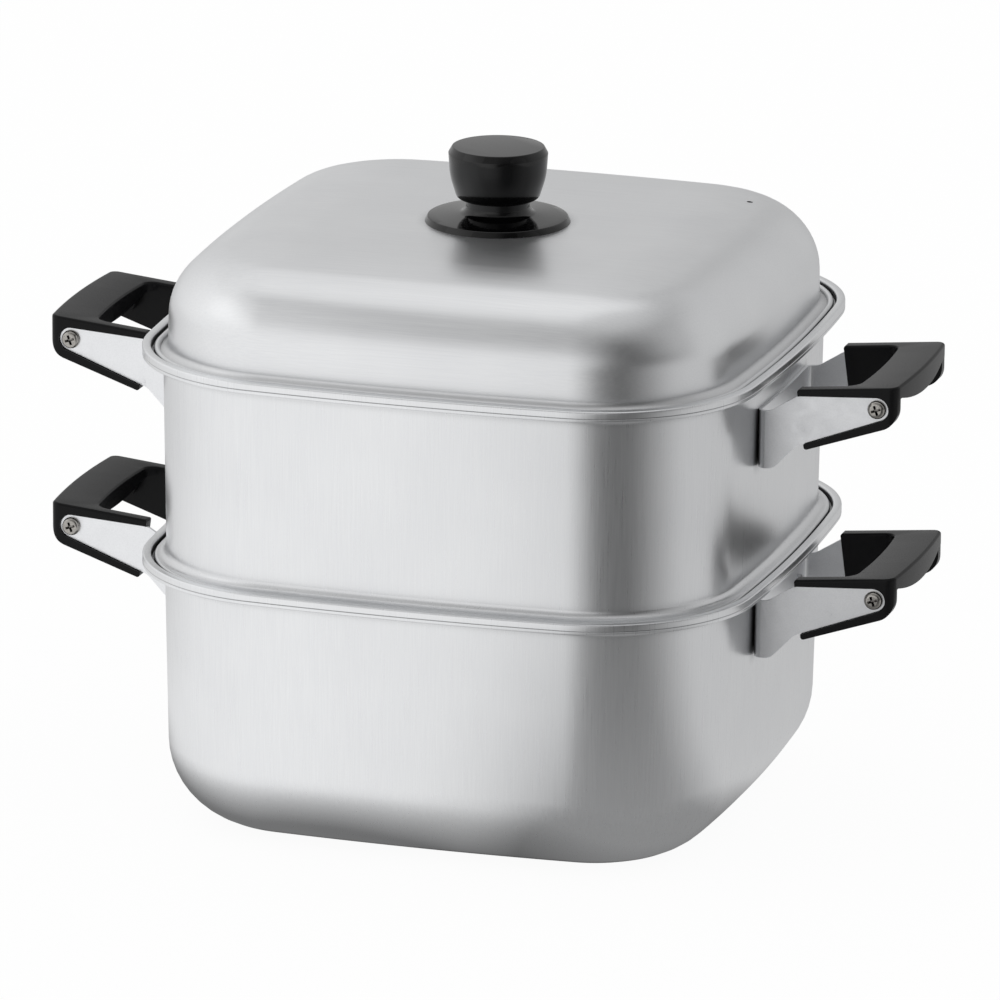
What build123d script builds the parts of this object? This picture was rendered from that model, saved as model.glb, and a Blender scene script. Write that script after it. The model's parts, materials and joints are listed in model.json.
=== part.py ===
from build123d import *
from math import acos, atan2, cos, degrees, hypot, radians, sin, sqrt, tan
import os

# Steamer pot: a square water pot, a perforated steaming tier and a domed lid, stacked.
# Millimetres, +Z up. The origin is the centre of the pot's flat bottom.
# "Half" sizes are measured from the centre to the middle of a side.

# Plan shape, shared by every pressed piece
rim_half = 145.0
rim_corner_radius = 75.0
side_bow = 2.2

# Heights
pot_height = 124.5
tier_pitch = 97.5

# Rim of the pot and of the tier: a ledge inside a hemmed band
band_width = 4.0
band_height = 5.2
band_edge_radius = 0.9
ledge_depth = 4.0
ledge_bend_radius = 4.0
rim_bend_radius = 1.5

# Sheet thicknesses
pot_wall = 1.5
tier_wall = 1.5
lid_wall = 1.2

# Lower pot: its wall stands in from the rim and leans in a little towards the bottom
pot_wall_inset = 10.2
pot_wall_draft = 2.5
pot_bottom_radius = 38.0

# Steaming tier
tier_wall_inset = 9.5
tier_wall_draft = 1.5
tier_foot_bend_radius = 4.6
foot_bead_height = 3.2
foot_bead_clearance = 1.3
foot_bead_bend_share = 0.49
tier_skirt_clearance = 1.3
tier_skirt_bend_radius = 2.4
tier_sink = 16.0
tier_floor_radius = 7.0
steam_hole_diameter = 7.0
steam_hole_pitch = 22.0
steam_hole_margin = 5.0

# Lid: the crown falls away evenly outside its flat middle
lid_flange_width = 6.3
lid_wall_draft = 1.0
lid_height = 46.0
lid_shoulder_radius = 30.0
lid_crown_slope = 7.0
lid_slope_width = 42.4
lid_slope_start = 14.0
lid_flare_radius = 4.4
lid_bead_diameter = 3.0
lid_flange_drop = 1.5
vent_diameter = 2.8
vent_inset_x = 34.9
vent_inset_y = 57.4

# Knob
knob_base_diameter = 66.1
knob_base_edge = 2.6
knob_base_taper = 1.2
knob_base_rise = 1.7
knob_base_edge_radius = 0.8
knob_base_recess = 1.6
knob_base_rim_width = 3.5
knob_base_boss_radius = 9.0
knob_neck_radius = 14.5
knob_neck_fillet = 3.6
knob_neck_height = 14.5
knob_foot_height = 10.7
knob_foot_radius = 18.6
knob_foot_round = 3.0
knob_waist_height = 21.2
knob_waist_radius = 21.9
knob_side_round = 30.0
knob_head_radius = 22.6
knob_chamfer_height = 3.0
knob_face_radius = 20.9
knob_head_height = 34.8
knob_edge_radius = 0.7
knob_insert_diameter = 9.0
knob_insert_length = 12.0

# Knob fastening
knob_washer_diameter = 16.0
knob_washer_thickness = 1.0
knob_screw_head_diameter = 9.0
knob_screw_head_height = 3.3
knob_screw_engagement = 9.0

# Fasteners shared by the knob and the grips
screw_diameter = 5.0
recess_span = 4.6
recess_width = 1.15
recess_depth = 1.7
recess_tip_width = 0.7
recess_tip_span = 2.4
recess_angle = 20
screw_dome_share = 0.8

# Clearances
stack_clearance = 0.2
screw_clearance = 0.1
insert_clearance = 0.04
hole_clearance = 0.05
seat_clearance = 0.02
rivet_seat_clearance = 0.1
grip_pocket_clearance = 0.25

# Handles, placed from the axis of their grip screws
grip_screw_overhang = 45.0
tier_screw_drop = 15.2
pot_screw_drop = 6.3

# Bracket: a channel of sheet with a base plate and two ears
bracket_sheet = 1.5
bracket_bend_radius = 3.2
ear_half_spacing = 41.8
ear_end_radius = 5.3
ear_shoulder_x = -36.6
ear_shoulder_z = 3.0
ear_shoulder_radius = 7.0
ear_neck_x = -49.6
ear_neck_radius = 8.0
base_plate_top = -5.2
base_plate_bottom = -31.8
ear_foot_x = -47.9
ear_foot_radius = 7.0
ear_heel_x = -36.6
ear_heel_z = -19.8
ear_heel_radius = 8.0

# Rivets of a bracket
rivet_diameter = 5.0
rivet_head_diameter = 8.6
rivet_head_height = 1.9
rivet_inner_head_diameter = 9.6
rivet_inner_head_height = 1.4
rivet_edge_radius = 1.0
rivet_inset = 13.3
rivet_drop = 16.5

# Moulded grip
grip_ear_cover = 1.4
grip_cheek_width = 6.7
grip_inner_x = -36.8
grip_inner_top = 6.3
grip_outer_top = 10.9
grip_end_radius = 9.5
grip_tip_x = -33.1
grip_tip_z = -21.5
grip_tip_radius = 1.2
grip_side_corner_radius = 4.5
grip_edge_radius = 1.2
bar_inner_x = -8.6
bar_inner_bow = 2.0
bar_inner_corner_radius = 6.0
bar_outer_x = 11.7
bar_outer_bow = 2.2
bar_middle_z = 0.2
bar_side_z = 4.9
bar_skin = 3.0
bar_lip = 3.0
bar_pocket_corner_radius = 2.0
bar_rib = 2.0
bar_rib_count = 2
grip_boss_radius = 6.2
grip_boss_length = 6.5

# Grip screws and their inserts
grip_screw_head_diameter = 8.5
grip_screw_head_height = 2.5
grip_screw_length = 10.0
grip_insert_diameter = 8.0
grip_insert_length = 9.0

# One overrun for every cut
overrun = 5.0


# Plan outline: bowed sides and round corners with fixed centres, so that all outlines stay parallel
side_run = rim_half - rim_corner_radius
side_radius = (side_run**2 + side_bow**2) / (2 * side_bow)
side_centre = side_radius - rim_half
corner_centre = (sqrt(2 * (side_radius - rim_corner_radius) ** 2 - side_centre**2) - side_centre) / 2
side_angle = degrees(atan2(corner_centre, corner_centre + side_centre))


def turned(x, y, quarter):
    """A plan point turned by a number of quarter turns."""
    spin = radians(90 * quarter)
    return (x * cos(spin) - y * sin(spin), x * sin(spin) + y * cos(spin))


def plan_outline(half):
    """Draws the closed plan outline whose sides pass at this distance."""
    corner_radius = half - rim_half + rim_corner_radius
    CenterArc((-side_centre, 0), half + side_centre, 0, side_angle)
    for quarter in range(4):
        start = 90 * quarter + side_angle
        corner = turned(corner_centre, corner_centre, quarter)
        CenterArc(corner, corner_radius, start, 90 - 2 * side_angle)
        side = turned(-side_centre, 0, quarter + 1)
        run = side_angle if quarter == 3 else 2 * side_angle
        CenterArc(side, half + side_centre, 90 * (quarter + 1) - side_angle, run)


def side_x(half, y):
    """Distance from the centre plane to a bowed side at a place along it."""
    return sqrt((half + side_centre) ** 2 - y**2) - side_centre


def tangent_point(x, z, radius, side):
    """Where a line from a point touches a circle about the origin, on one side (1) or the other (-1)."""
    towards = atan2(z, x) + side * acos(radius / hypot(x, z))
    return (radius * cos(towards), radius * sin(towards))


def rivet_seat(reach, z, side, end):
    """Plane on a bowed wall or plate at a rivet, square to it and facing out at one end of the pot."""
    lean = rivet_half_spacing / side_radius
    out = (end * cos(lean), side * sin(lean), 0)
    return Plane(origin=(-end * side_centre, 0, z), x_dir=(0, 0, 1), z_dir=out).offset(reach + side_centre)


# Rivets of a bracket, from its ears
rivet_half_spacing = ear_half_spacing - rivet_inset

# Axes of the grip screws
grip_screw_reach = rim_half + grip_screw_overhang
pot_axis_z = pot_height - pot_screw_drop
tier_axis_z = pot_height + tier_pitch - tier_screw_drop

# Lower pot
pot_top_half = rim_half - pot_wall_inset
pot_base_half = pot_top_half - pot_wall_draft
pot_wall_top = pot_height - ledge_depth
ledge_half = rim_half - band_width + pot_wall / 2

with BuildPart() as lower_pot:
    with BuildLine() as pot_plan:
        plan_outline(rim_half)
    with BuildSketch(Plane.XZ) as pot_section:
        with BuildLine() as pot_sheet:
            FilletPolyline(
                (pot_base_half - pot_bottom_radius - pot_wall, pot_wall / 2),
                (pot_base_half - pot_wall / 2, pot_wall / 2),
                (pot_top_half - pot_wall / 2, pot_wall_top - pot_wall / 2),
                (ledge_half, pot_wall_top - pot_wall / 2),
                (ledge_half, pot_height - band_edge_radius),
                radius=(pot_bottom_radius - pot_wall / 2, ledge_bend_radius, rim_bend_radius),
            )
        trace(line_width=pot_wall)
        with Locations((rim_half - band_width / 2, pot_height - band_height / 2)):
            RectangleRounded(band_width, band_height, band_edge_radius)
    sweep(path=pot_plan.wires()[0])
    with BuildSketch(Plane.XY) as pot_floor:
        with BuildLine():
            plan_outline(pot_base_half - pot_bottom_radius)
        make_face()
    extrude(amount=pot_wall)
    for end in (-1, 1):
        for side in (-1, 1):
            with BuildSketch(rivet_seat(pot_top_half, pot_axis_z - rivet_drop, side, end)):
                Circle(rivet_diameter / 2 + hole_clearance)
            extrude(amount=overrun, both=True, mode=Mode.SUBTRACT)
lower_pot.part.label = "lower_pot"

# Steaming tier
tier_top = pot_height + tier_pitch
tier_wall_top = tier_top - ledge_depth
tier_rest = pot_height - ledge_depth + stack_clearance
tier_floor = pot_height - tier_sink
tier_top_half = rim_half - tier_wall_inset
tier_base_half = tier_top_half - tier_wall_draft
skirt_half = pot_top_half - pot_wall - tier_skirt_clearance - tier_wall / 2
foot_bead_half = rim_half - band_width - foot_bead_clearance
bead_line_half = foot_bead_half - tier_wall / 2
bead_low = tier_rest + tier_wall / 2
bead_high = tier_rest + foot_bead_height - tier_wall / 2
bead_bend_radius = (bead_high - bead_low) * foot_bead_bend_share
tier_ledge_half = rim_half - band_width + tier_wall / 2
floor_corner_radius = skirt_half - tier_floor_radius - rim_half + rim_corner_radius
steam_hole_reach = corner_centre + floor_corner_radius * cos(radians(45)) - steam_hole_margin
steam_hole_rows = int(2 * steam_hole_reach / steam_hole_pitch) + 1

with BuildPart() as steamer_tier:
    with BuildLine() as tier_plan:
        plan_outline(rim_half)
    with BuildSketch(Plane.XZ) as tier_section:
        with BuildLine() as tier_sheet:
            FilletPolyline(
                (skirt_half - tier_floor_radius - tier_wall, tier_floor + tier_wall / 2),
                (skirt_half, tier_floor + tier_wall / 2),
                (skirt_half, bead_low),
                (bead_line_half, bead_low),
                (bead_line_half, bead_high),
                (tier_base_half - tier_wall / 2, bead_high),
                (tier_top_half - tier_wall / 2, tier_wall_top - tier_wall / 2),
                (tier_ledge_half, tier_wall_top - tier_wall / 2),
                (tier_ledge_half, tier_top - band_edge_radius),
                radius=(
                    tier_floor_radius,
                    tier_skirt_bend_radius,
                    bead_bend_radius,
                    bead_bend_radius,
                    tier_foot_bend_radius,
                    ledge_bend_radius,
                    rim_bend_radius,
                ),
            )
        trace(line_width=tier_wall)
        with Locations((rim_half - band_width / 2, tier_top - band_height / 2)):
            RectangleRounded(band_width, band_height, band_edge_radius)
    sweep(path=tier_plan.wires()[0])
    with BuildSketch(Plane.XY.offset(tier_floor)) as tier_plate:
        with BuildLine():
            plan_outline(skirt_half - tier_floor_radius)
        make_face()
    extrude(amount=tier_wall)
    with BuildSketch(Plane.XY.offset(tier_floor)) as steam_holes:
        with GridLocations(steam_hole_pitch, steam_hole_pitch, steam_hole_rows, steam_hole_rows):
            Circle(steam_hole_diameter / 2)
        with GridLocations(steam_hole_pitch, steam_hole_pitch, steam_hole_rows - 1, steam_hole_rows - 1):
            Circle(steam_hole_diameter / 2)
    extrude(amount=tier_wall, mode=Mode.SUBTRACT)
    for end in (-1, 1):
        for side in (-1, 1):
            with BuildSketch(rivet_seat(tier_top_half, tier_axis_z - rivet_drop, side, end)):
                Circle(rivet_diameter / 2 + hole_clearance)
            extrude(amount=overrun, both=True, mode=Mode.SUBTRACT)
steamer_tier.part.label = "steamer_tier"

# Lid
lid_top = tier_top + lid_height
lid_base_half = foot_bead_half - lid_flange_width
lid_shoulder_half = lid_base_half - lid_wall_draft
lid_crown_half = lid_shoulder_half - lid_slope_width
lid_flat_half = lid_crown_half - lid_slope_start
bead_centre_half = foot_bead_half - lid_bead_diameter / 2
bead_centre_z = tier_top - ledge_depth + stack_clearance + lid_bead_diameter / 2
flange_z = bead_centre_z + lid_bead_diameter / 2 - lid_flange_drop - lid_wall / 2
crown_drop = lid_slope_width * tan(radians(lid_crown_slope))

with BuildPart() as lid:
    with BuildLine() as lid_plan:
        plan_outline(rim_half)
    with BuildSketch(Plane.XZ) as lid_section:
        with BuildLine() as lid_sheet:
            FilletPolyline(
                (lid_flat_half - lid_wall, lid_top - lid_wall / 2),
                (lid_crown_half, lid_top - lid_wall / 2),
                (lid_shoulder_half - lid_wall / 2, lid_top - lid_wall / 2 - crown_drop),
                (lid_base_half - lid_wall / 2, flange_z),
                (bead_centre_half, flange_z),
                radius=(
                    lid_slope_start / tan(radians(lid_crown_slope / 2)),
                    lid_shoulder_radius,
                    lid_flare_radius,
                ),
            )
        trace(line_width=lid_wall)
        with Locations((bead_centre_half, bead_centre_z)):
            Circle(lid_bead_diameter / 2)
    sweep(path=lid_plan.wires()[0])
    with BuildSketch(Plane.XY.offset(lid_top)) as lid_plate:
        with BuildLine():
            plan_outline(lid_flat_half)
        make_face()
    extrude(amount=-lid_wall)
    with BuildSketch(Plane.XY.offset(lid_top + overrun)) as lid_holes:
        Circle(screw_diameter / 2 + screw_clearance)
        with Locations((lid_shoulder_half - vent_inset_x, lid_shoulder_half - vent_inset_y)):
            Circle(vent_diameter / 2)
    extrude(amount=-(lid_wall + lid_height / 2), mode=Mode.SUBTRACT)
lid.part.label = "lid"

# Knob base: a heat guard disc with a neck, hollow underneath
base_radius = knob_base_diameter / 2
disc_top = lid_top + knob_base_edge
neck_root = disc_top + knob_base_rise
neck_top = lid_top + knob_neck_height

with BuildPart() as knob_base:
    with BuildSketch(Plane.XZ) as knob_base_section:
        with BuildLine() as knob_base_outline:
            FilletPolyline(
                (0, lid_top),
                (base_radius, lid_top),
                (base_radius - knob_base_taper, disc_top),
                (knob_neck_radius, neck_root),
                (knob_neck_radius, neck_top),
                (0, neck_top),
                radius=(0, knob_base_edge_radius, knob_neck_fillet, 0),
            )
            Line((0, neck_top), (0, lid_top))
        make_face()
    revolve(axis=Axis.Z)
    with BuildSketch(Plane.XY.offset(lid_top)) as knob_base_hollow:
        Circle(base_radius - knob_base_rim_width)
        Circle(knob_base_boss_radius, mode=Mode.SUBTRACT)
    extrude(amount=knob_base_recess, mode=Mode.SUBTRACT)
    with BuildSketch(Plane.XY.offset(lid_top)) as knob_base_bore:
        Circle(screw_diameter / 2 + screw_clearance)
    extrude(amount=knob_neck_height, mode=Mode.SUBTRACT)
knob_base.part.label = "knob_base"

# Knob head: a cup-shaped grip that sits over the top of the neck, round a brass insert
head_top = lid_top + knob_head_height
head_widest = head_top - knob_chamfer_height
head_foot = lid_top + knob_foot_height

with BuildPart() as knob_head:
    with BuildSketch(Plane.XZ) as knob_head_section:
        with BuildLine() as knob_head_outline:
            FilletPolyline(
                (0, head_foot),
                (knob_foot_radius, head_foot),
                (knob_waist_radius, lid_top + knob_waist_height),
                (knob_head_radius, head_widest),
                (knob_face_radius, head_top),
                (0, head_top),
                radius=(knob_foot_round, knob_side_round, knob_edge_radius, knob_edge_radius),
            )
            Line((0, head_top), (0, head_foot))
        make_face()
    revolve(axis=Axis.Z)
    with BuildSketch(Plane.XY.offset(neck_top)) as knob_socket:
        Circle(knob_neck_radius + seat_clearance)
    extrude(amount=-knob_neck_height, mode=Mode.SUBTRACT)
    with BuildSketch(Plane.XY.offset(neck_top)) as knob_insert_pocket:
        Circle(knob_insert_diameter / 2 + insert_clearance)
    extrude(amount=knob_insert_length + insert_clearance, mode=Mode.SUBTRACT)
knob_head.part.label = "knob_head"

# Knob washer and screw, under the lid
washer_top = lid_top - lid_wall - seat_clearance
washer_bottom = washer_top - knob_washer_thickness

with BuildPart() as knob_washer:
    with BuildSketch(Plane.XY.offset(washer_bottom)) as knob_washer_section:
        Circle(knob_washer_diameter / 2)
        Circle(screw_diameter / 2 + screw_clearance, mode=Mode.SUBTRACT)
    extrude(amount=knob_washer_thickness)
knob_washer.part.label = "knob_washer"


def upright_plane(seat):
    """Plane through a seat's axis: its x runs along the seat and its y stands out of it."""
    return Plane(origin=seat.origin, x_dir=seat.x_dir, z_dir=-seat.y_dir)


def make_screws(seats, head_diameter, head_height, length):
    """Pan-head screws with a cross recess: each head stands out of its seat, each shank runs into it."""
    shank_radius = screw_diameter / 2
    with BuildPart() as screws:
        for seat in seats:
            with BuildSketch(upright_plane(seat)):
                with BuildLine():
                    FilletPolyline(
                        (0, -length),
                        (shank_radius, -length),
                        (shank_radius, 0),
                        (head_diameter / 2, 0),
                        (head_diameter / 2, head_height),
                        (0, head_height),
                        radius=(0, 0, 0, head_height * screw_dome_share),
                    )
                    Line((0, head_height), (0, -length))
                make_face()
            revolve(axis=Axis(seat.origin, seat.z_dir))
            for angle in (0, 90):
                with BuildSketch(seat.offset(head_height)):
                    Rectangle(recess_span, recess_width, rotation=recess_angle + angle)
                with BuildSketch(seat.offset(head_height - recess_depth)):
                    Rectangle(recess_tip_span, recess_tip_width, rotation=recess_angle + angle)
                loft(mode=Mode.SUBTRACT)
    return screws.part


def make_inserts(seats, diameter, length):
    """Threaded inserts, each sunk into its moulding from its seat."""
    with BuildPart() as inserts:
        for seat in seats:
            with BuildSketch(seat):
                Circle(diameter / 2)
                Circle(screw_diameter / 2 + screw_clearance, mode=Mode.SUBTRACT)
            extrude(amount=-length)
    return inserts.part


under_washer = Plane(origin=(0, 0, washer_bottom - seat_clearance), x_dir=(1, 0, 0), z_dir=(0, 0, -1))
knob_screw_length = neck_top + knob_screw_engagement - (washer_bottom - seat_clearance)
knob_screw = make_screws([under_washer], knob_screw_head_diameter, knob_screw_head_height, knob_screw_length)

under_head = Plane(origin=(0, 0, neck_top + seat_clearance), x_dir=(1, 0, 0), z_dir=(0, 0, -1))
knob_insert = make_inserts([under_head], knob_insert_diameter, knob_insert_length - seat_clearance)


# Handles: the four are alike, and each level has its own height and wall
grip_half_width = ear_half_spacing + grip_ear_cover
grip_cheek_inner = grip_half_width - grip_cheek_width
web_half = ear_half_spacing - bracket_sheet - seat_clearance


def across_handle(axis_z, y):
    """Plane square to the wall and upright, centred on the axis of the grip screws."""
    return Plane(origin=(grip_screw_reach, y, axis_z), x_dir=(1, 0, 0), z_dir=(0, -1, 0))


def along_handle(z):
    """Level plane centred between the grip screws."""
    return Plane(origin=(grip_screw_reach, 0, z), x_dir=(1, 0, 0), z_dir=(0, 0, 1))


def screw_seats(axis_z, y):
    """Planes on the axis of the grip screws, at both ends of a handle and facing out."""
    return [
        Plane(origin=(grip_screw_reach, side * y, axis_z), x_dir=(1, 0, 0), z_dir=(0, side, 0))
        for side in (-1, 1)
    ]


def ear_outline(grow):
    """Draws the side outline of an ear, grown by a distance around its outer end."""
    shoulder = (ear_shoulder_x, ear_shoulder_z + grow)
    heel = (ear_heel_x, ear_heel_z - grow)
    top = tangent_point(*shoulder, ear_end_radius + grow, -1)
    bottom = tangent_point(*heel, ear_end_radius + grow, 1)
    inside = pot_base_half - grip_screw_reach - overrun
    FilletPolyline(
        top,
        shoulder,
        (ear_neck_x, base_plate_top + grow),
        (inside, base_plate_top + grow),
        (inside, base_plate_bottom - grow),
        (ear_foot_x, base_plate_bottom - grow),
        heel,
        bottom,
        radius=(ear_shoulder_radius, ear_neck_radius, 0, 0, ear_foot_radius, ear_heel_radius),
    )
    ThreePointArc(bottom, (ear_end_radius + grow, 0), top)


def make_bracket(axis_z, wall_reach):
    """A channel bent from sheet: its base plate follows the wall, its ears carry the grip."""
    plate_half = wall_reach + seat_clearance + bracket_sheet / 2
    ear_y = ear_half_spacing - bracket_sheet / 2
    bend_y = ear_y - bracket_bend_radius
    bend_x = side_x(plate_half + bracket_bend_radius, bend_y)
    lean = degrees(atan2(bend_y, bend_x + side_centre))
    ear_end = grip_screw_reach + ear_end_radius + overrun
    with BuildPart() as bracket:
        with BuildSketch(Plane.XY.offset(axis_z + base_plate_bottom)):
            with BuildLine():
                Line((ear_end, -ear_y), (bend_x, -ear_y))
                CenterArc((bend_x, -bend_y), bracket_bend_radius, 180 - lean, 90 + lean)
                CenterArc((-side_centre, 0), plate_half + side_centre, -lean, 2 * lean)
                CenterArc((bend_x, bend_y), bracket_bend_radius, 90, 90 + lean)
                Line((bend_x, ear_y), (ear_end, ear_y))
            trace(line_width=bracket_sheet)
        extrude(amount=ear_end_radius - base_plate_bottom)
        with BuildSketch(across_handle(axis_z, 0)):
            with BuildLine():
                ear_outline(0)
            make_face()
        extrude(amount=ear_half_spacing, both=True, mode=Mode.INTERSECT)
        with BuildSketch(across_handle(axis_z, 0)):
            Circle(screw_diameter / 2 + screw_clearance)
        extrude(amount=ear_half_spacing, both=True, mode=Mode.SUBTRACT)
        for side in (-1, 1):
            with BuildSketch(rivet_seat(wall_reach, axis_z - rivet_drop, side, 1)):
                Circle(rivet_diameter / 2 + hole_clearance)
            extrude(amount=overrun, both=True, mode=Mode.SUBTRACT)
    return bracket.part


def make_rivets(axis_z, wall_reach, inner_reach):
    """Two rivets through the base plate and the wall, domed outside and flat inside."""
    outer_seat = wall_reach + seat_clearance + bracket_sheet + seat_clearance
    inner_seat = inner_reach - rivet_seat_clearance
    grip_length = outer_seat - inner_seat
    with BuildPart() as rivets:
        for side in (-1, 1):
            seat = rivet_seat(outer_seat, axis_z - rivet_drop, side, 1)
            with BuildSketch(upright_plane(seat)):
                with BuildLine():
                    FilletPolyline(
                        (0, rivet_head_height),
                        (rivet_head_diameter / 2, rivet_head_height),
                        (rivet_head_diameter / 2, 0),
                        (rivet_diameter / 2, 0),
                        (rivet_diameter / 2, -grip_length),
                        (rivet_inner_head_diameter / 2, -grip_length),
                        (rivet_inner_head_diameter / 2, -grip_length - rivet_inner_head_height),
                        (0, -grip_length - rivet_inner_head_height),
                        radius=(rivet_edge_radius, 0, 0, 0, 0, rivet_edge_radius),
                    )
                    Line((0, -grip_length - rivet_inner_head_height), (0, rivet_head_height))
                make_face()
            revolve(axis=Axis(seat.origin, seat.z_dir))
    return rivets.part


def bar_outline(inner_x, outer_x, half_width):
    """Draws the plan of the bar: two bowed edges between straight ends."""
    inner_end = inner_x - bar_inner_bow
    outer_end = outer_x - bar_outer_bow
    ThreePointArc((inner_end, -half_width), (inner_x, 0), (inner_end, half_width))
    Line((inner_end, half_width), (outer_end, half_width))
    ThreePointArc((outer_end, half_width), (outer_x, 0), (outer_end, -half_width))
    Line((outer_end, -half_width), (inner_end, -half_width))


def make_grip(axis_z):
    """A moulded grip: a hollow bar between two cheeks that wrap the ears."""
    inner_end = bar_inner_x - bar_inner_bow
    outer_end = bar_outer_x - bar_outer_bow
    gap_half = grip_cheek_inner
    tilt = (grip_outer_top - grip_inner_top) / (grip_end_radius - grip_inner_x)
    top_origin = (grip_screw_reach + grip_inner_x, 0, axis_z + grip_inner_top)
    top_plane = Plane(origin=top_origin, x_dir=(1, 0, tilt), z_dir=(-tilt, 0, 1))
    height = grip_outer_top - bar_middle_z + overrun
    with BuildPart() as grip:
        # Bar, between the finger gap and the bowed outer edge
        with BuildSketch(along_handle(axis_z + bar_middle_z)) as bar_plan:
            with BuildLine():
                bar_outline(bar_inner_x - bar_inner_corner_radius, bar_outer_x, grip_half_width)
            make_face()
            with BuildLine():
                ThreePointArc((inner_end, -gap_half), (bar_inner_x, 0), (inner_end, gap_half))
                Polyline(
                    (inner_end, gap_half),
                    (grip_inner_x, gap_half),
                    (grip_inner_x, -gap_half),
                    (inner_end, -gap_half),
                )
            make_face(mode=Mode.SUBTRACT)
            for side in (-1, 1):
                corner = bar_plan.vertices().sort_by_distance((inner_end, side * gap_half, 0))[0]
                fillet(corner, bar_inner_corner_radius)
        extrude(amount=height)
        # Belly, rising towards the cheeks
        with BuildSketch(Plane(origin=(grip_screw_reach, 0, axis_z), x_dir=(0, 1, 0), z_dir=(1, 0, 0))):
            with BuildLine():
                ThreePointArc((-gap_half, bar_side_z), (0, bar_middle_z), (gap_half, bar_side_z))
                Polyline(
                    (gap_half, bar_side_z),
                    (grip_half_width, bar_side_z),
                    (grip_half_width, height),
                    (-grip_half_width, height),
                    (-grip_half_width, bar_side_z),
                    (-gap_half, bar_side_z),
                )
            make_face()
        extrude(amount=-grip_inner_x, both=True, mode=Mode.INTERSECT)
        # Pocket under the bar, with ribs across it
        pocket_half = gap_half - grip_boss_length - bar_rib
        ceiling = grip_inner_top + tilt * (bar_inner_x + bar_lip - grip_inner_x) - bar_skin
        with BuildSketch(along_handle(axis_z + ceiling)) as pocket_plan:
            with BuildLine():
                bar_outline(bar_inner_x + bar_lip, bar_outer_x - bar_lip, pocket_half)
            make_face()
            with GridLocations(0, 2 * pocket_half / (bar_rib_count + 1), 1, bar_rib_count):
                Rectangle(bar_outer_x - bar_inner_x + overrun, bar_rib, mode=Mode.SUBTRACT)
            fillet(pocket_plan.vertices(), bar_pocket_corner_radius)
        extrude(amount=-height, mode=Mode.SUBTRACT)
        # Cheeks, from their side outline
        tip = (grip_tip_x, grip_tip_z)
        touch = tangent_point(*tip, grip_end_radius, 1)
        slope = (touch[1] - grip_tip_z) / (touch[0] - grip_tip_x)
        lean = (grip_tip_x - grip_inner_x) / (grip_inner_top - grip_tip_z)
        heel = (grip_end_radius, grip_tip_z + slope * (grip_end_radius - grip_tip_x))
        for side in (-1, 1):
            with BuildSketch(across_handle(axis_z, side * gap_half)):
                with BuildLine():
                    FilletPolyline(
                        (grip_inner_x - lean * (height - grip_inner_top), height),
                        (grip_end_radius, height),
                        heel,
                        tip,
                        radius=(0, 0, grip_end_radius, grip_tip_radius),
                        close=True,
                    )
                make_face()
            extrude(amount=side * (gap_half - grip_half_width))
            with BuildSketch(across_handle(axis_z, side * gap_half)):
                Circle(grip_boss_radius)
            extrude(amount=side * grip_boss_length)
        # Outer corners and the tilted top
        with BuildSketch(along_handle(axis_z + grip_tip_z - overrun)) as whole_plan:
            with BuildLine():
                ThreePointArc((outer_end, -grip_half_width), (bar_outer_x, 0), (outer_end, grip_half_width))
                Polyline(
                    (outer_end, grip_half_width),
                    (grip_inner_x, grip_half_width),
                    (grip_inner_x, -grip_half_width),
                    (outer_end, -grip_half_width),
                )
            make_face()
            fillet(whole_plan.vertices().group_by(Axis.X)[-1], grip_side_corner_radius)
        extrude(amount=height - grip_tip_z + 2 * overrun, mode=Mode.INTERSECT)
        split(bisect_by=top_plane, keep=Keep.BOTTOM)
        # Recesses for the ears and holes for the inserts
        for side in (-1, 1):
            with BuildSketch(across_handle(axis_z, side * grip_half_width)):
                with BuildLine():
                    ear_outline(grip_pocket_clearance)
                make_face()
            extrude(amount=side * (grip_half_width - web_half), mode=Mode.SUBTRACT)
            with BuildSketch(across_handle(axis_z, side * web_half)):
                Circle(grip_insert_diameter / 2 + insert_clearance)
            extrude(amount=side * (grip_insert_length + 2 * seat_clearance), mode=Mode.SUBTRACT)
        top_edges = grip.faces().sort_by(Axis(top_plane.origin, top_plane.z_dir))[-1].edges()
        fillet(top_edges, grip_edge_radius)
    return grip.part


pieces = {
    "lower_pot": lower_pot.part,
    "steamer_tier": steamer_tier.part,
    "lid": lid.part,
    "knob_base": knob_base.part,
    "knob_head": knob_head.part,
    "knob_insert": knob_insert,
    "knob_washer": knob_washer.part,
    "knob_screw": knob_screw,
}


def pot_half(z):
    """Outer half size of the pot's drafted wall at a height."""
    return pot_base_half + (pot_top_half - pot_base_half) * z / pot_wall_top


def tier_half(z):
    """Outer half size of the tier's drafted wall at a height."""
    return tier_base_half + (tier_top_half - tier_base_half) * (z - tier_rest) / (tier_wall_top - tier_rest)


# The two handles of a level, the left one turned round from the right one
levels = (
    ("lower", pot_axis_z, pot_half, pot_wall),
    ("upper", tier_axis_z, tier_half, tier_wall),
)
for level, axis_z, half_at, wall in levels:
    plate_reach = half_at(axis_z + base_plate_top)
    inner_reach = half_at(axis_z - rivet_drop - rivet_inner_head_diameter / 2) - wall
    head_seats = screw_seats(axis_z, ear_half_spacing + seat_clearance)
    insert_seats = screw_seats(axis_z, web_half - seat_clearance)
    handle = {
        "bracket": make_bracket(axis_z, plate_reach),
        "grip": make_grip(axis_z),
        "inserts": make_inserts(insert_seats, grip_insert_diameter, grip_insert_length),
        "screws": make_screws(
            head_seats, grip_screw_head_diameter, grip_screw_head_height, grip_screw_length
        ),
        "rivets": make_rivets(axis_z, plate_reach, inner_reach),
    }
    for name, piece in handle.items():
        pieces[f"{level}_right_{name}"] = piece
        pieces[f"{level}_left_{name}"] = piece.rotate(Axis.Z, 180)

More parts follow.
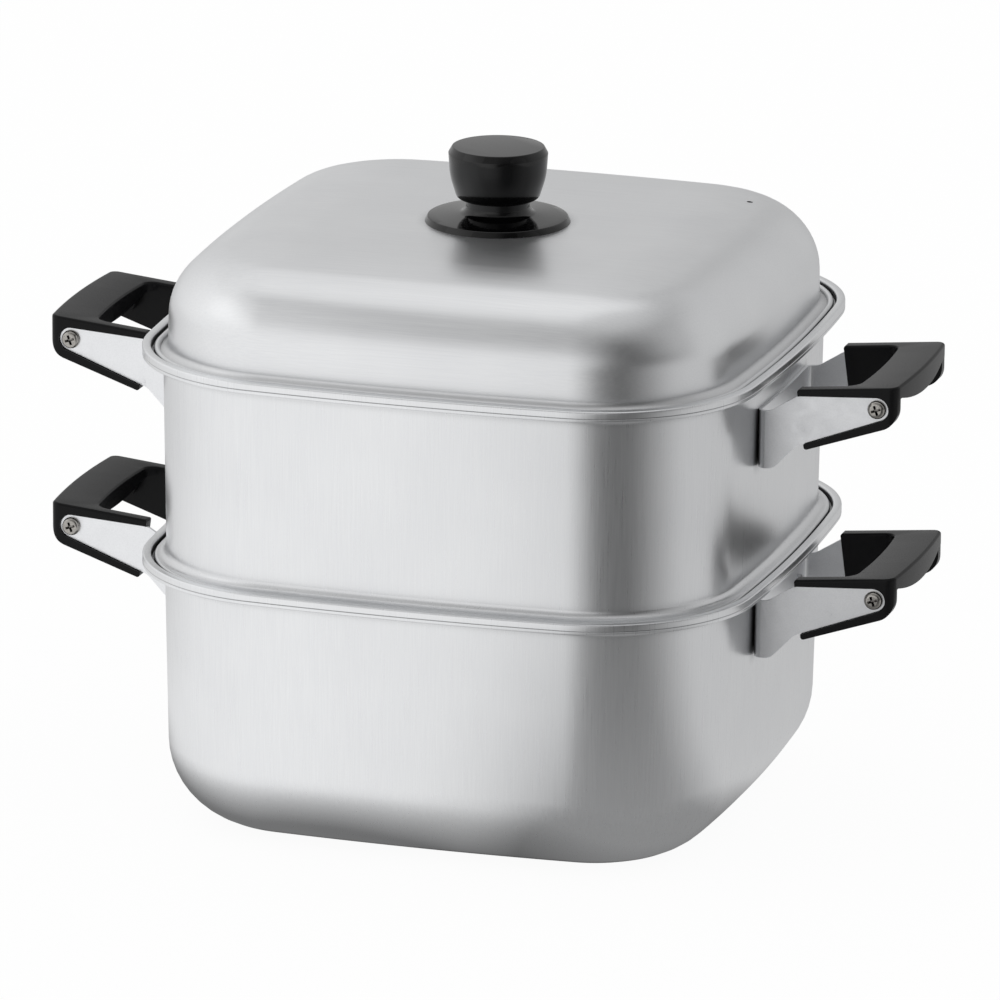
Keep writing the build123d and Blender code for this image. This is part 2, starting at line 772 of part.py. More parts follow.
os.makedirs("parts", exist_ok=True)
for name, piece in pieces.items():
    piece.label = name
    export_step(piece, f"parts/{name}.step")
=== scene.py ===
"""Steamer pot: a square water pot, a steaming tier and a domed lid, dressed for a studio picture.

Sizes are in millimetres and are turned to metres where a mesh is made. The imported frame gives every
piece its place: X runs through the handles, Y towards the back and Z up.
"""

import json
import logging
from collections.abc import Iterable, Sequence
from dataclasses import dataclass
from enum import Enum
from math import atan2, cos, pi, radians, sin, sqrt, tan

import bmesh
import bpy
from mathutils import Matrix, Vector

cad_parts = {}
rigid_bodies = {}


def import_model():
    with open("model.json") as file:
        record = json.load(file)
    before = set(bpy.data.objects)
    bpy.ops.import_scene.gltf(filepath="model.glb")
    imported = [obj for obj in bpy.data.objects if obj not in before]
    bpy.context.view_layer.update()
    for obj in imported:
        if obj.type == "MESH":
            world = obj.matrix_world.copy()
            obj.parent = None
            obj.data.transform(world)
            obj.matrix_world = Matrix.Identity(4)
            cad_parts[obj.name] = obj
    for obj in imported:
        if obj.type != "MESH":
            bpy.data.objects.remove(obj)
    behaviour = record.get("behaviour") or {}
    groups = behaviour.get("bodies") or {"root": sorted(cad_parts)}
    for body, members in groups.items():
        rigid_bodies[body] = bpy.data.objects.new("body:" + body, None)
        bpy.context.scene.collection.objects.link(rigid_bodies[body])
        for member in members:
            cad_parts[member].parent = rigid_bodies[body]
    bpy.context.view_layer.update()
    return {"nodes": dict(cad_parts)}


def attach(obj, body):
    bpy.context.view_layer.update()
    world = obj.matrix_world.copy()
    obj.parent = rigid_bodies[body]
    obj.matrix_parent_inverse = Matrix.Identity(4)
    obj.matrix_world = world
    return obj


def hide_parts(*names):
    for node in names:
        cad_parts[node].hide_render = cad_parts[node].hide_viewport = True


# One millimetre in Blender's metres
MM = 0.001
# Points closer than this are one point
SAME_PLACE = 0.01 * MM
# Corners of neighbouring CAD faces closer than this are joined
WELD_DISTANCE = 0.002 * MM
# Round profile of a bend in Blender's bevel
ROUND_PROFILE = 0.5
# Sharp edges of solid pieces and of bent sheet, in degrees
SHARP_ANGLE = 35.0
SHEET_SHARP_ANGLE = 50.0
# Octaves of a plain noise pattern
PLAIN_DETAIL = 2.0
WHITE = (1.0, 1.0, 1.0, 1.0)
BLACK = (0.0, 0.0, 0.0, 1.0)
METAL = {"Metallic": 1.0}

# Pairs of a place along a curve and its level there
Stops = tuple[tuple[float, float], ...]

log = logging.getLogger("steamer_pot")


class Level(Enum):
    """The two levels that carry handles."""

    LOWER = "lower"
    UPPER = "upper"


class Grain(Enum):
    """Direction of the fine brush lines on a sheet, as the stretch of a pattern along X, Y and Z."""

    UPRIGHT = (1.0, 1.0, 0.012)
    ACROSS = (0.012, 1.0, 1.0)


def linear(colour: str) -> tuple[float, float, float, float]:
    """Turns an sRGB hex colour to linear light.

    Args:
        colour: Six hex digits, with or without a leading #.

    Returns:
        Red, green, blue and an alpha of 1.
    """
    digits = colour.lstrip("#")
    parts = [int(digits[i : i + 2], 16) / 255 for i in (0, 2, 4)]
    red, green, blue = (c / 12.92 if c <= 0.04045 else ((c + 0.055) / 1.055) ** 2.4 for c in parts)
    return red, green, blue, 1.0


def add_node(
    tree: bpy.types.NodeTree, kind: str, values: dict | None = None, **settings: object
) -> bpy.types.Node:
    """Adds a shader node with its settings and inputs.

    Args:
        tree: Node tree that gets the node.
        kind: Type name of the node.
        values: Inputs by name or number: a value, or an output socket to link from.
        settings: Properties of the node.

    Returns:
        The new node.
    """
    made = tree.nodes.new(kind)
    for name, value in settings.items():
        setattr(made, name, value)
    for name, value in (values or {}).items():
        if isinstance(value, bpy.types.NodeSocket):
            tree.links.new(value, made.inputs[name])
        else:
            made.inputs[name].default_value = value
    return made


def new_material(name: str) -> tuple[bpy.types.Material, bpy.types.NodeTree, bpy.types.Node]:
    """Starts a node material.

    Args:
        name: Common name of the finish.

    Returns:
        The material, its emptied node tree and its output node.
    """
    material = bpy.data.materials.new(name)
    material.use_nodes = True
    tree = material.node_tree
    tree.nodes.clear()
    return material, tree, add_node(tree, "ShaderNodeOutputMaterial")


def noise(
    tree: bpy.types.NodeTree, place: bpy.types.NodeSocket, spacing_mm: float, **values: float
) -> bpy.types.NodeSocket:
    """Adds a noise pattern.

    Args:
        tree: Node tree that gets it.
        place: Socket with the place on the surface.
        spacing_mm: Distance between its marks, in millimetres.
        values: Other inputs of the noise, by name.

    Returns:
        Socket with its strength.
    """
    inputs = {"Vector": place, "Scale": 1 / (spacing_mm * MM), "Detail": PLAIN_DETAIL, **values}
    return add_node(tree, "ShaderNodeTexNoise", inputs).outputs["Fac"]


def colour_ramp(
    tree: bpy.types.NodeTree, factor: bpy.types.NodeSocket, stops: Sequence[tuple]
) -> bpy.types.Node:
    """Adds a colour ramp.

    Args:
        tree: Node tree that gets the ramp.
        factor: Socket that drives it.
        stops: Pairs of position and RGBA colour, in order.

    Returns:
        The ramp node.
    """
    ramp = add_node(tree, "ShaderNodeValToRGB", {"Fac": factor})
    elements = ramp.color_ramp.elements
    while len(elements) < len(stops):
        elements.new(1.0)
    for element, (position, colour) in zip(elements, stops):
        element.position = position
        element.color = colour
    return ramp


def grey_ramp(
    tree: bpy.types.NodeTree, factor: bpy.types.NodeSocket, stops: Sequence[tuple[float, float]]
) -> bpy.types.NodeSocket:
    """Adds a curve through grey levels.

    Args:
        tree: Node tree that gets it.
        factor: Socket that drives it.
        stops: Pairs of position and grey level, in order.

    Returns:
        Socket with the level.
    """
    greys = [(at, (level, level, level, 1.0)) for at, level in stops]
    return colour_ramp(tree, factor, greys).outputs["Color"]


def seen_directly(tree: bpy.types.NodeTree, path: bpy.types.Node) -> bpy.types.NodeSocket:
    """Tells the rays that come straight from the camera, also through a clear piece.

    Args:
        tree: Node tree that gets the node.
        path: Its light path node.

    Returns:
        Socket with 1 for those rays and 0 for others.
    """
    rays = {0: path.outputs["Is Camera Ray"], 1: path.outputs["Is Transmission Ray"]}
    return add_node(tree, "ShaderNodeMath", rays, operation="MAXIMUM").outputs[0]


@dataclass(frozen=True)
class Finish:
    """What every finish shares: two tones, a roughness and a faint relief, each from a pattern.

    Attributes:
        name: Common name of the finish.
        light: Its lighter tone, as sRGB hex.
        dark: Its darker tone.
        roughness: How dull it is, between 0 and 1.
        tone_range: Strengths of the pattern at the dark and at the light tone.
        shine_range: Strengths of the pattern where the roughness is lowest and highest.
        shine_change: What is added to the roughness at those two.
        relief: Strength of the fine bumps.
        relief_mm: Their height.
    """

    name: str
    light: str
    dark: str
    roughness: float
    tone_range: tuple[float, float] = (0.3, 0.7)
    shine_range: tuple[float, float] = (0.3, 0.7)
    shine_change: tuple[float, float] = (-0.03, 0.05)
    relief: float = 0.05
    relief_mm: float = 0.01

    def tones(self, tree: bpy.types.NodeTree, pattern: bpy.types.NodeSocket) -> bpy.types.NodeSocket:
        """Colours the surface between its dark and its light tone.

        Args:
            tree: Node tree that gets the nodes.
            pattern: Socket of the pattern that it follows.

        Returns:
            Socket with the colour.
        """
        low, high = self.tone_range
        stops = [(low, linear(self.dark)), (high, linear(self.light))]
        return colour_ramp(tree, pattern, stops).outputs["Color"]

    def surface(
        self,
        tree: bpy.types.NodeTree,
        output: bpy.types.Node,
        colour: bpy.types.NodeSocket,
        shine_pattern: bpy.types.NodeSocket,
        relief_pattern: bpy.types.NodeSocket,
        values: dict,
    ) -> None:
        """Adds the shader and joins it to the output.

        Args:
            tree: Node tree that gets the nodes.
            output: Output node.
            colour: Socket with the base colour.
            shine_pattern: Socket of the pattern that the roughness follows.
            relief_pattern: Socket of the pattern that stands out of the surface.
            values: Other inputs of the shader.
        """
        low, high = self.shine_range
        down, up = self.shine_change
        rough = add_node(
            tree,
            "ShaderNodeMapRange",
            {
                "Value": shine_pattern,
                "From Min": low,
                "From Max": high,
                "To Min": self.roughness + down,
                "To Max": self.roughness + up,
            },
        )
        bump = add_node(
            tree,
            "ShaderNodeBump",
            {"Height": relief_pattern, "Strength": self.relief, "Distance": self.relief_mm * MM},
        )
        shader = add_node(
            tree,
            "ShaderNodeBsdfPrincipled",
            {
                "Base Color": colour,
                "Roughness": rough.outputs["Result"],
                "Normal": bump.outputs["Normal"],
                **values,
            },
        )
        tree.links.new(shader.outputs["BSDF"], output.inputs["Surface"])


@dataclass(frozen=True)
class BrushedAluminium(Finish):
    """Drawn aluminium sheet with a satin brushed face.

    The brush leaves parallel hair lines that stretch each reflection across them. Real lines are
    about 0.05 mm apart, too fine to show, so they are drawn at the spacing given here. Narrow
    gaps between rims get painted shade: ambient occlusion darkens their colour, which draws the
    seams round the pot.
    """

    light: str = "#EFF0F1"
    dark: str = "#E4E5E7"
    roughness: float = 0.29
    shine_range: tuple[float, float] = (0.25, 0.75)
    relief: float = 0.06
    grain: Grain = Grain.UPRIGHT
    line_mm: float = 0.6
    line_detail: float = 3.0
    line_contrast: float = 0.7
    cloud_mm: float = 45.0
    cloud_share: float = 0.35
    # Painted shade in narrow gaps: how far the ambient occlusion looks, how strongly it darkens the colour,
    # and its samples
    shade_reach_mm: float = 5.0
    painted_shade_share: float = 0.9
    shade_samples: int = 6

    def material(self) -> bpy.types.Material:
        """Builds the material and returns it."""
        material, tree, output = new_material(self.name)
        place = add_node(tree, "ShaderNodeTexCoord").outputs["Object"]
        stretch = add_node(tree, "ShaderNodeMapping", {"Vector": place, "Scale": self.grain.value})
        lines = noise(
            tree,
            stretch.outputs["Vector"],
            self.line_mm,
            Detail=self.line_detail,
            Roughness=self.line_contrast,
        )
        clouds = noise(tree, place, self.cloud_mm)
        tone = add_node(
            tree, "ShaderNodeMix", {0: self.cloud_share, 2: lines, 3: clouds}, data_type="FLOAT"
        )
        colour = self.tones(tree, tone.outputs[0])
        # Painted shade: ambient occlusion darkens the colour in narrow gaps between rims and along the
        # seams
        painted_shade = add_node(
            tree,
            "ShaderNodeAmbientOcclusion",
            {"Color": colour, "Distance": self.shade_reach_mm * MM},
            samples=self.shade_samples,
        )
        shaded_colour = add_node(
            tree,
            "ShaderNodeMix",
            {0: self.painted_shade_share, 6: colour, 7: painted_shade.outputs["Color"]},
            data_type="RGBA",
        )
        self.surface(tree, output, shaded_colour.outputs[2], lines, lines, METAL)
        return material


@dataclass(frozen=True)
class ScuffedAluminium(Finish):
    """Bent aluminium sheet of the brackets: satin, very pale, with faint scuffs from the press."""

    name: str = "satin aluminium sheet"
    light: str = "#EFF0F2"
    dark: str = "#E9EAEC"
    roughness: float = 0.36
    tone_range: tuple[float, float] = (0.3, 0.6)
    shine_range: tuple[float, float] = (0.3, 0.75)
    shine_change: tuple[float, float] = (-0.04, 0.1)
    speckle_mm: float = 0.5
    speckle_detail: float = 4.0
    scuff: str = "#B4B5B8"
    scuff_mm: float = 9.0
    scuff_detail: float = 8.0
    scuff_contrast: float = 0.75
    scuff_swirl: float = 0.6
    scuff_range: tuple[float, float] = (0.66, 0.76)

    def material(self) -> bpy.types.Material:
        """Builds the material and returns it."""
        material, tree, output = new_material(self.name)
        place = add_node(tree, "ShaderNodeTexCoord").outputs["Object"]
        speckle = noise(tree, place, self.speckle_mm, Detail=self.speckle_detail)
        scuffs = noise(
            tree,
            place,
            self.scuff_mm,
            Detail=self.scuff_detail,
            Roughness=self.scuff_contrast,
            Distortion=self.scuff_swirl,
        )
        clean, scuffed = self.scuff_range
        marks = colour_ramp(tree, scuffs, [(clean, BLACK), (scuffed, WHITE)])
        colour = add_node(
            tree,
            "ShaderNodeMix",
            {0: marks.outputs["Color"], 6: self.tones(tree, speckle), 7: linear(self.scuff)},
            data_type="RGBA",
        )
        self.surface(tree, output, colour.outputs[2], scuffs, speckle, METAL)
        return material


@dataclass(frozen=True)
class Phenolic(Finish):
    """Moulded black phenolic resin.

    The mould leaves a very fine orange-peel, so reflections of the lamps are soft edged, and the
    filler in the resin mottles the black a little.
    """

    name: str = "black phenolic resin"
    light: str = "#141415"
    dark: str = "#0E0E0F"
    roughness: float = 0.27
    tone_range: tuple[float, float] = (0.35, 0.65)
    relief_mm: float = 0.02
    ior: float = 1.45
    specular: float = 0.14
    peel_mm: float = 0.9
    filler_mm: float = 0.25
    filler_detail: float = 3.0

    def material(self) -> bpy.types.Material:
        """Builds the material and returns it."""
        material, tree, output = new_material(self.name)
        place = add_node(tree, "ShaderNodeTexCoord").outputs["Object"]
        peel = noise(tree, place, self.peel_mm)
        filler = noise(tree, place, self.filler_mm, Detail=self.filler_detail)
        values = {"IOR": self.ior, "Specular IOR Level": self.specular}
        self.surface(tree, output, self.tones(tree, filler), filler, peel, values)
        return material


@dataclass(frozen=True)
class TurnedMetal(Finish):
    """A small turned or plated metal piece, with fine marks from its making and painted shade that darkens
    its hollows.
    """

    shine_change: tuple[float, float] = (-0.04, 0.06)
    relief: float = 0.1
    mark_mm: float = 0.35
    mark_detail: float = 4.0
    # How far the painted shade in hollows reaches
    shade_reach_mm: float = 1.5

    def material(self) -> bpy.types.Material:
        """Builds the material and returns it."""
        material, tree, output = new_material(self.name)
        place = add_node(tree, "ShaderNodeTexCoord").outputs["Object"]
        marks = noise(tree, place, self.mark_mm, Detail=self.mark_detail)
        # Painted shade: ambient occlusion darkens the colour in recesses such as the screws' cross
        painted_shade = add_node(
            tree,
            "ShaderNodeAmbientOcclusion",
            {"Color": self.tones(tree, marks), "Distance": self.shade_reach_mm * MM},
            only_local=True,
        )
        self.surface(tree, output, painted_shade.outputs["Color"], marks, marks, METAL)
        return material


@dataclass(frozen=True)
class Corner:
    """A corner of a section: its distance from the axis, its height and its bend radius, in millimetres."""

    half: float
    z: float
    radius: float = 0.0


@dataclass(frozen=True)
class Plan:
    """Rounded square plan of every pressed piece: bowed sides and round corners with fixed centres."""

    half: float = 145.0
    corner_radius: float = 75.0
    bow: float = 2.2
    side_steps: int = 10
    corner_steps: int = 36

    @property
    def side_radius(self) -> float:
        """Radius of a bowed side at the rim."""
        run = self.half - self.corner_radius
        return (run**2 + self.bow**2) / (2 * self.bow)

    @property
    def side_centre(self) -> float:
        """How far a side's centre lies past the middle."""
        return self.side_radius - self.half

    @property
    def corner_centre(self) -> float:
        """X and Y of a corner's centre."""
        reach = self.side_radius - self.corner_radius
        return (sqrt(2 * reach**2 - self.side_centre**2) - self.side_centre) / 2

    @property
    def side_angle(self) -> float:
        """Half the angle that a side turns."""
        return atan2(self.corner_centre, self.corner_centre + self.side_centre)

    def sweep(self, bm: bmesh.types.BMesh) -> None:
        """Sweeps the section in a bmesh round the whole plan and closes it.

        Args:
            bm: Holds only the section, as vertices and edges in the XZ plane.
        """
        geometry = bm.verts[:] + bm.edges[:]
        for quarter in range(4):
            turn = Matrix.Rotation(quarter * pi / 2, 3, "Z")
            after = Matrix.Rotation((quarter + 1) * pi / 2, 3, "Z")
            side = turn @ Vector((-self.side_centre, 0, 0)) * MM
            corner = turn @ Vector((self.corner_centre, self.corner_centre, 0)) * MM
            far_side = after @ Vector((-self.side_centre, 0, 0)) * MM
            stretches = (
                (side, self.side_angle, self.side_steps),
                (corner, pi / 2 - 2 * self.side_angle, self.corner_steps),
                (far_side, self.side_angle, self.side_steps),
            )
            for centre, angle, steps in stretches:
                made = bmesh.ops.spin(
                    bm,
                    geom=geometry,
                    cent=centre,
                    axis=(0, 0, 1),
                    angle=angle,
                    steps=steps,
                    use_duplicate=False,
                )
                geometry = made["geom_last"]
        bmesh.ops.remove_doubles(bm, verts=bm.verts[:], dist=SAME_PLACE)


def draw_section(
    bm: bmesh.types.BMesh, corners: Sequence[Corner], segments: int, closed: bool = False
) -> None:
    """Draws a bent section in the XZ plane: straight runs with a rounded bend at each corner.

    Args:
        bm: Gets the section.
        corners: Corners in order.
        segments: Edges in each bend.
        closed: Whether the last corner joins the first.
    """
    points = [bm.verts.new((c.half * MM, 0, c.z * MM)) for c in corners]
    following = points[1:] + points[:1] if closed else points[1:]
    for start, end in zip(points, following):
        bm.edges.new((start, end))
    for i, corner in enumerate(corners):
        if not corner.radius:
            continue
        here = Vector((corner.half, corner.z))
        before = corners[i - 1]
        after = corners[(i + 1) % len(corners)]
        inward = here - Vector((before.half, before.z))
        outward = Vector((after.half, after.z)) - here
        reach = corner.radius * tan(inward.angle(outward) / 2)
        bmesh.ops.bevel(
            bm,
            geom=[points[i]],
            offset=reach * MM,
            offset_type="OFFSET",
            affect="VERTICES",
            segments=segments,
            profile=ROUND_PROFILE,
            material=-1,
        )


def new_object(name: str, bm: bmesh.types.BMesh) -> bpy.types.Object:
    """Turns a bmesh into an object of the scene.

    Args:
        name: Name of the object and its mesh.
        bm: Its geometry, in metres, freed here.

    Returns:
        The new object.
    """
    mesh = bpy.data.meshes.new(name)
    bm.to_mesh(mesh)
    bm.free()
    made = bpy.data.objects.new(name, mesh)
    bpy.context.scene.collection.objects.link(made)
    return made


def new_piece(
    name: str, bm: bmesh.types.BMesh, material: bpy.types.Material, body: str
) -> bpy.types.Object:
    """Turns a bmesh into a smooth-shaded piece that rides on a body.

    Args:
        name: Name of the piece.
        bm: Its geometry, in metres, freed here.
        material: Its finish.
        body: CAD body that it rides on.

    Returns:
        The new object.
    """
    bmesh.ops.recalc_face_normals(bm, faces=bm.faces[:])
    for face in bm.faces:
        face.smooth = True
    piece = new_object(name, bm)
    piece.data.materials.append(material)
    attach(piece, body)
    return piece


def crease(piece: bpy.types.Object, angle: float = SHARP_ANGLE) -> None:
    """Splits the shading of a piece at its sharp edges.

    Args:
        piece: Smooth-shaded object.
        angle: Smallest sharp angle, in degrees.
    """
    split = piece.modifiers.new("sharp edges", "EDGE_SPLIT")
    split.split_angle = radians(angle)


def thicken(piece: bpy.types.Object, wall: float) -> None:
    """Gives a sheet its thickness, half to each side.

    Args:
        piece: Open surface.
        wall: Thickness in millimetres.
    """
    solid = piece.modifiers.new("sheet thickness", "SOLIDIFY")
    solid.thickness = wall * MM
    solid.offset = 0.0
    solid.use_even_offset = True


def carve(piece: bpy.types.Object, bm: bmesh.types.BMesh) -> None:
    """Cuts a shape out of a piece for good.

    Args:
        piece: Object that is cut, with its modifiers.
        bm: Closed shape to take away, freed here.
    """
    cutter = new_object("cutter", bm)
    cutter.parent = piece.parent
    cut = piece.modifiers.new("cut", "BOOLEAN")
    cut.operation = "DIFFERENCE"
    cut.solver = "EXACT"
    cut.object = cutter
    graph = bpy.context.evaluated_depsgraph_get()
    carved = bpy.data.meshes.new_from_object(piece.evaluated_get(graph))
    piece.modifiers.clear()
    piece.data = carved
    bpy.data.objects.remove(cutter)


def open_edges(bm: bmesh.types.BMesh, z: float) -> list[bmesh.types.BMEdge]:
    """Finds the open edges at a height.

    Args:
        bm: Swept sheet, with or without loose circles.
        z: Height in millimetres.

    Returns:
        The edges there that bound the sheet or belong to no face.
    """
    return [
        edge
        for edge in bm.edges
        if (edge.is_boundary or edge.is_wire)
        and all(abs(point.co.z - z * MM) < SAME_PLACE for point in edge.verts)
    ]


def dress(frame: dict, names: Iterable[str], material: bpy.types.Material) -> None:
    """Gives CAD nodes a finish, and smooth shading between their sharp edges.

    Args:
        names: Nodes to dress.
        material: Their finish.
    """
    for name in names:
        piece = frame["nodes"][name]
        piece.data.materials.clear()
        piece.data.materials.append(material)
        for polygon in piece.data.polygons:
            polygon.material_index = 0
            polygon.use_smooth = True
        weld = piece.modifiers.new("joined faces", "WELD")
        weld.merge_threshold = WELD_DISTANCE
        crease(piece)
        log.info("%s: %s", name, material.name)


@dataclass
class Vessel:
    """What the pot and the tier share: a drawn sheet shell with a hemmed band round its rim."""

    node: str
    body: str
    plan: Plan
    finish: bpy.types.Material
    top: float
    wall: float = 1.5
    band_width: float = 4.0
    band_height: float = 5.2
    band_radius: float = 0.9
    band_segments: int = 4
    ledge_depth: float = 4.0
    ledge_radius: float = 4.0
    rim_bend: float = 1.5
    fold_drop: float = 3.3
    fold_depth: float = 0.25
    hem_inset: float = 0.05

    def rim_corners(self, wall_half: float) -> list[Corner]:
        """Corners of the ledge and the rim above the wall.

        Args:
            wall_half: Outer half size at the top of the wall.

        Returns:
            Corners of the sheet's centre line.
        """
        inner = self.plan.half - self.band_width + self.hem_inset + self.wall / 2
        ledge = self.top - self.ledge_depth - self.wall / 2
        return [
            Corner(wall_half - self.wall / 2, ledge, self.ledge_radius),
            Corner(inner, ledge, self.rim_bend),
            Corner(inner, self.top - self.band_radius),
        ]

    def make_band(self) -> None:
        """Builds the hemmed band, with the fine fold line on its outer face."""
        outer = self.plan.half
        inner = outer - self.band_width
        bottom = self.top - self.band_height
        fold = self.top - self.fold_drop
        bm = bmesh.new()
        draw_section(
            bm,
            [
                Corner(inner, bottom, self.band_radius / 2),
                Corner(outer, bottom, self.band_radius),
                Corner(outer, fold - self.fold_depth),
                Corner(outer - self.fold_depth, fold),
                Corner(outer, fold + self.fold_depth),
                Corner(outer, self.top, self.band_radius),
                Corner(inner, self.top, self.band_radius),
            ],
            self.band_segments,
            closed=True,
        )
        self.plan.sweep(bm)
        band = new_piece(f"{self.node}_band", bm, self.finish, self.body)
        crease(band)
        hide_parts(self.node)

    def finish_shell(self, bm: bmesh.types.BMesh) -> None:
        """Turns a swept sheet into the vessel's shell.

        Args:
            bm: Swept and closed sheet.
        """
        shell = new_piece(f"{self.node}_shell", bm, self.finish, self.body)
        thicken(shell, self.wall)
        crease(shell, SHEET_SHARP_ANGLE)
        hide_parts(self.node)
        log.info("%s: shell and band", self.node)


@dataclass
class WaterPot(Vessel):
    """The lower pot, drawn deep with a large radius round its bottom."""

    top_half: float = 134.8
    base_half: float = 132.3
    bottom_radius: float = 38.0
    bend_segments: int = 12

    def build(self) -> None:
        """Builds the shell and the band."""
        floor = self.wall / 2
        bm = bmesh.new()
        draw_section(
            bm,
            [
                Corner(self.base_half - self.bottom_radius - 2 * self.wall, floor),
                Corner(self.base_half - self.wall / 2, floor, self.bottom_radius - self.wall / 2),
                *self.rim_corners(self.top_half),
            ],
            self.bend_segments,
        )
        self.plan.sweep(bm)
        bmesh.ops.contextual_create(bm, geom=open_edges(bm, floor))
        self.finish_shell(bm)
        self.make_band()


@dataclass
class SteamerTier(Vessel):
    """The tier: a drafted wall over a foot bead, and a perforated floor on a short skirt."""

    rest: float = 120.7
    top_half: float = 135.5
    base_half: float = 134.0
    bead_half: float = 139.7
    bead_height: float = 3.2
    foot_bend: float = 4.6
    bead_bend_share: float = 0.49
    skirt_half: float = 131.25
    skirt_bend: float = 2.4
    floor_z: float = 108.5
    floor_radius: float = 7.0
    hole_radius: float = 3.5
    hole_pitch: float = 22.0
    hole_rows: int = 10
    hole_segments: int = 16
    bend_segments: int = 8

    def build(self) -> None:
        """Builds the perforated shell and the band."""
        floor = self.floor_z + self.wall / 2
        low = self.rest + self.wall / 2
        high = self.rest + self.bead_height - self.wall / 2
        bead = self.bead_half - self.wall / 2
        bend = (high - low) * self.bead_bend_share
        bm = bmesh.new()
        draw_section(
            bm,
            [
                Corner(self.skirt_half - self.floor_radius - self.wall, floor),
                Corner(self.skirt_half, floor, self.floor_radius),
                Corner(self.skirt_half, low, self.skirt_bend),
                Corner(bead, low, bend),
                Corner(bead, high, bend),
                Corner(self.base_half - self.wall / 2, high, self.foot_bend),
                *self.rim_corners(self.top_half),
            ],
            self.bend_segments,
        )
        self.plan.sweep(bm)
        for place in self.hole_places():
            bmesh.ops.create_circle(
                bm,
                segments=self.hole_segments,
                radius=self.hole_radius * MM,
                matrix=Matrix.Translation(Vector((*place, floor)) * MM),
            )
        bmesh.ops.triangle_fill(bm, edges=open_edges(bm, floor), use_beauty=True, use_dissolve=False)
        self.finish_shell(bm)
        self.make_band()

    def hole_places(self) -> list[tuple[float, float]]:
        """Works out the staggered steam holes: one square of rows, and a smaller one between them."""
        places = []
        for count in (self.hole_rows, self.hole_rows - 1):
            steps = [(i - (count - 1) / 2) * self.hole_pitch for i in range(count)]
            places += [(x, y) for x in steps for y in steps]
        return places


@dataclass
class Lid:
    """The lid: a short wall, a round shoulder and a shallow crown, with a rolled bead round its rim."""

    node: str
    body: str
    plan: Plan
    finish: bpy.types.Material
    rest: float = 218.2
    top: float = 268.0
    wall: float = 1.2
    base_half: float = 133.4
    shoulder_half: float = 132.4
    shoulder_radius: float = 30.0
    crown_slope: float = 7.0
    slope_width: float = 42.4
    slope_start: float = 14.0
    flare_radius: float = 4.4
    bead_half: float = 139.7
    bead_diameter: float = 3.0
    flange_drop: float = 1.5
    vent_radius: float = 1.4
    vent: tuple[float, float] = (97.5, 75.0)
    cutter_length: float = 30.0
    vent_segments: int = 24
    bead_segments: int = 20
    bend_segments: int = 14

    def build(self) -> None:
        """Builds the shell with its vent hole, and the bead."""
        crown = self.top - self.wall / 2
        crown_half = self.shoulder_half - self.slope_width
        drop = self.slope_width * tan(radians(self.crown_slope))
        crown_radius = self.slope_start / tan(radians(self.crown_slope / 2))
        bead_centre = self.bead_half - self.bead_diameter / 2
        bead_z = self.rest + self.bead_diameter / 2
        flange = self.rest + self.bead_diameter - self.flange_drop - self.wall / 2
        bm = bmesh.new()
        draw_section(
            bm,
            [
                Corner(crown_half - self.slope_start - self.wall, crown),
                Corner(crown_half, crown, crown_radius),
                Corner(self.shoulder_half - self.wall / 2, crown - drop, self.shoulder_radius),
                Corner(self.base_half - self.wall / 2, flange, self.flare_radius),
                Corner(bead_centre, flange),
            ],
            self.bend_segments,
        )
        self.plan.sweep(bm)
        bmesh.ops.contextual_create(bm, geom=open_edges(bm, crown))
        shell = new_piece(f"{self.node}_shell", bm, self.finish, self.body)
        thicken(shell, self.wall)
        bm = bmesh.new()
        radius = self.vent_radius * MM
        bmesh.ops.create_cone(
            bm,
            cap_ends=True,
            segments=self.vent_segments,
            radius1=radius,
            radius2=radius,
            depth=self.cutter_length * MM,
            matrix=Matrix.Translation(Vector((*self.vent, crown)) * MM),
        )
        carve(shell, bm)
        crease(shell, SHEET_SHARP_ANGLE)
        bm = bmesh.new()
        upright = Matrix.Rotation(pi / 2, 4, "X")
        place = Matrix.Translation(Vector((bead_centre, 0, bead_z)) * MM)
        bmesh.ops.create_circle(
            bm, segments=self.bead_segments, radius=self.bead_diameter / 2 * MM, matrix=place @ upright
        )
        self.plan.sweep(bm)
        bead = new_piece(f"{self.node}_bead", bm, self.finish, self.body)
        for piece in (shell, bead):
            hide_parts(self.node)
        log.info("%s: shell and bead", self.node)


@dataclass(frozen=True)
class Softbox:
    """A rectangular lamp that faces the pot. Lengths are in metres and power in watts."""

    name: str
    place: tuple[float, float, float]
    width: float
    height: float
    watts: float

    def hang(self, aim: Vector) -> None:
        """Adds the lamp to the scene.

        Args:
            aim: Point that it faces, in metres.
        """
        data = bpy.data.lights.new(self.name, "AREA")
        data.shape = "RECTANGLE"
        data.size = self.width
        data.size_y = self.height
        data.energy = self.watts
        lamp = bpy.data.objects.new(self.name, data)
        bpy.context.scene.collection.objects.link(lamp)
        lamp.location = self.place
        towards = aim - Vector(self.place)
        lamp.rotation_euler = towards.to_track_quat("-Z", "Y").to_euler()


